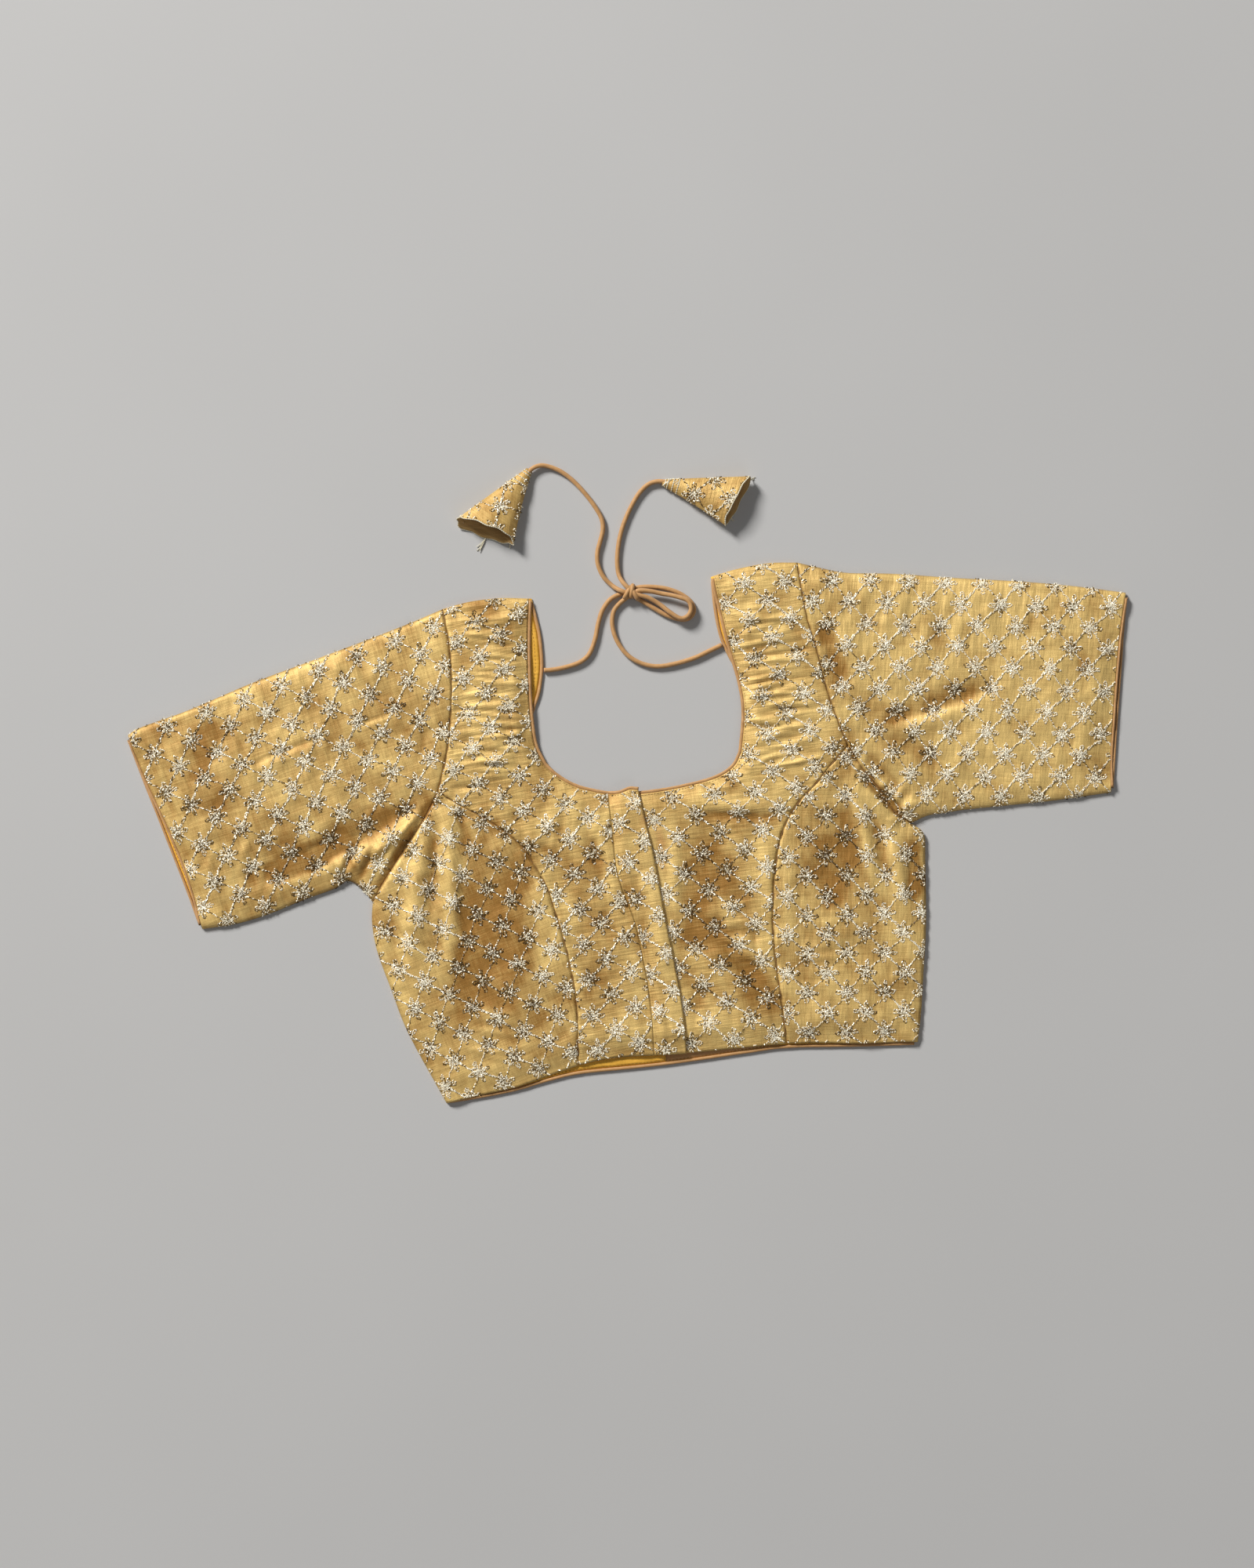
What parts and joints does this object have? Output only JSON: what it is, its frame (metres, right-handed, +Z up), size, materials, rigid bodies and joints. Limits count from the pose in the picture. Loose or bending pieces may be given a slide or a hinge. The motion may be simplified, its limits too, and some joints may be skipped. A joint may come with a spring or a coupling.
{
  "type": "square neck blouse",
  "caption": "Short-sleeved princess-seamed blouse of gold brocade, laid flat, with a rounded square neck, a lapped front placket and neck ties ending in cloth cones.",
  "frame": {"origin": "centre of the bottom of the garment's box, on the surface that it lies on, the tie cords not counted", "axes": "+X to the right as seen from above, +Y towards the shoulders, +Z up out of the front"},
  "size_m": [0.7646, 0.4893, 0.015],
  "materials": {
    "gold_tissue": "gold tissue brocade with a slubbed weave and a metallic sheen",
    "tan_satin": "tan satin piping and cord",
    "yellow_lining": "plain mustard cotton lining",
    "zari_thread": "pale silver-gold metallic embroidery thread"
  },
  "bodies": {
    "root": {"back": "gold_tissue", "front_centre_left": "gold_tissue", "front_centre_right": "gold_tissue", "front_side_left": "gold_tissue", "front_side_right": "gold_tissue", "placket": "gold_tissue", "sleeve_left": "gold_tissue", "sleeve_right": "gold_tissue", "neck_piping_left": "tan_satin", "neck_piping_right": "tan_satin", "neck_piping_back": "tan_satin", "hem_piping": "tan_satin", "cuff_piping_left": "tan_satin", "cuff_piping_right": "tan_satin", "hem_facing": "yellow_lining", "neck_facing_left": "yellow_lining", "neck_facing_right": "yellow_lining", "cuff_facing_left": "yellow_lining", "cuff_facing_right": "yellow_lining", "dori_lead_left": "tan_satin", "dori_lead_right": "tan_satin", "dori_loop_lower": "tan_satin", "dori_loop_upper": "tan_satin", "dori_end_left": "tan_satin", "dori_end_right": "tan_satin", "dori_knot": "tan_satin", "latkan_left": "gold_tissue", "latkan_right": "gold_tissue"}
  },
  "joints": []
}
